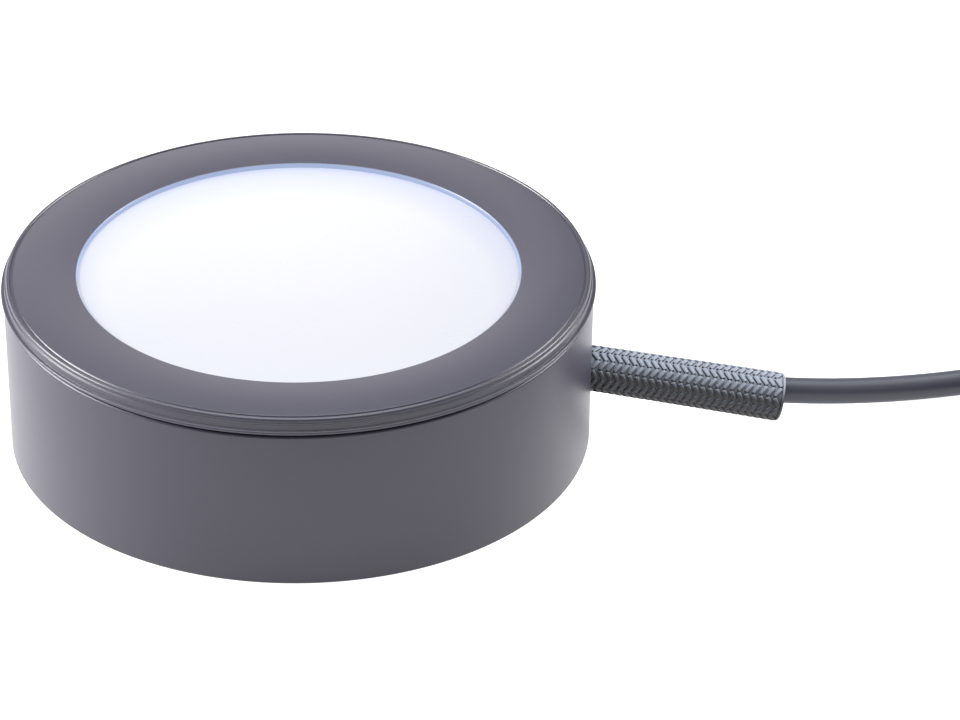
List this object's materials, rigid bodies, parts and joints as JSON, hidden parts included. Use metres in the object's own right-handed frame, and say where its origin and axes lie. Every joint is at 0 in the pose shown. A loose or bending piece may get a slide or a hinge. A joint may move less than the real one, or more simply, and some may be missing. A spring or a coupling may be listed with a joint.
{
  "type": "led puck light",
  "caption": "Low round LED puck light with an opal lens, a two-tier twist-off bezel, a braided side strain relief and a coiled low-voltage lead with a barrel plug.",
  "frame": {"origin": "centre of the light's round back, on the surface that it stands on", "axes": "+Z is the light's axis, out of its back and through the lens; +X is the way the lead leaves the wall"},
  "size_m": [0.1785, 0.0711, 0.0226],
  "materials": {
    "housing_metal": "satin",
    "bezel_metal": "satin",
    "opal_lens": "satin",
    "black_rubber": "matte",
    "pad_rubber": "matte",
    "white_plastic": "satin",
    "white_board": "satin",
    "led_phosphor": "matte",
    "bare_aluminium": "satin",
    "screw_steel": "satin",
    "green_board": "satin",
    "black_component": "matte",
    "can_aluminium": "satin",
    "red_insulation": "satin",
    "black_insulation": "satin",
    "clamp_plastic": "matte",
    "braid": "matte",
    "cord_jacket": "satin",
    "tie_plastic": "satin",
    "plug_plastic": "satin",
    "nickel": "polished"
  },
  "bodies": {
    "base": {"housing": "housing_metal", "reflector": "white_plastic", "led_board": "white_board", "led_chips": "led_phosphor", "thermal_pad": "pad_rubber", "heat_sink": "bare_aluminium", "led_board_screws": "screw_steel", "driver_board": "green_board", "driver_board_screws": "screw_steel", "inductor": "black_component", "smoothing_capacitor": "can_aluminium", "bridge_rectifier": "black_component", "driver_chip": "black_component", "chip_resistors": "black_component", "input_terminal": "white_plastic", "led_supply_wire": "red_insulation", "led_return_wire": "black_insulation", "cord_core_supply": "red_insulation", "cord_core_return": "black_insulation", "cord_clamp": "clamp_plastic", "clamp_screws": "screw_steel", "cord_bush": "black_rubber", "braided_sleeve": "braid", "power_cord": "cord_jacket", "cord_coil": "cord_jacket", "cord_tail": "cord_jacket", "coil_tie": "tie_plastic", "plug_body": "plug_plastic", "plug_barrel": "nickel", "plug_insulator": "plug_plastic", "plug_socket": "nickel"},
    "lens_ring": {"bezel": "bezel_metal", "lens": "opal_lens", "lens_gasket": "black_rubber", "lens_retainer": "white_plastic"}
  },
  "joints": [
    {"name": "bezel_twist", "type": "hinge", "parent": "base", "child": "lens_ring", "pos_m": [0, 0, 0.017], "axis": [0, 0, 1], "range_deg": [0, 15]}
  ]
}
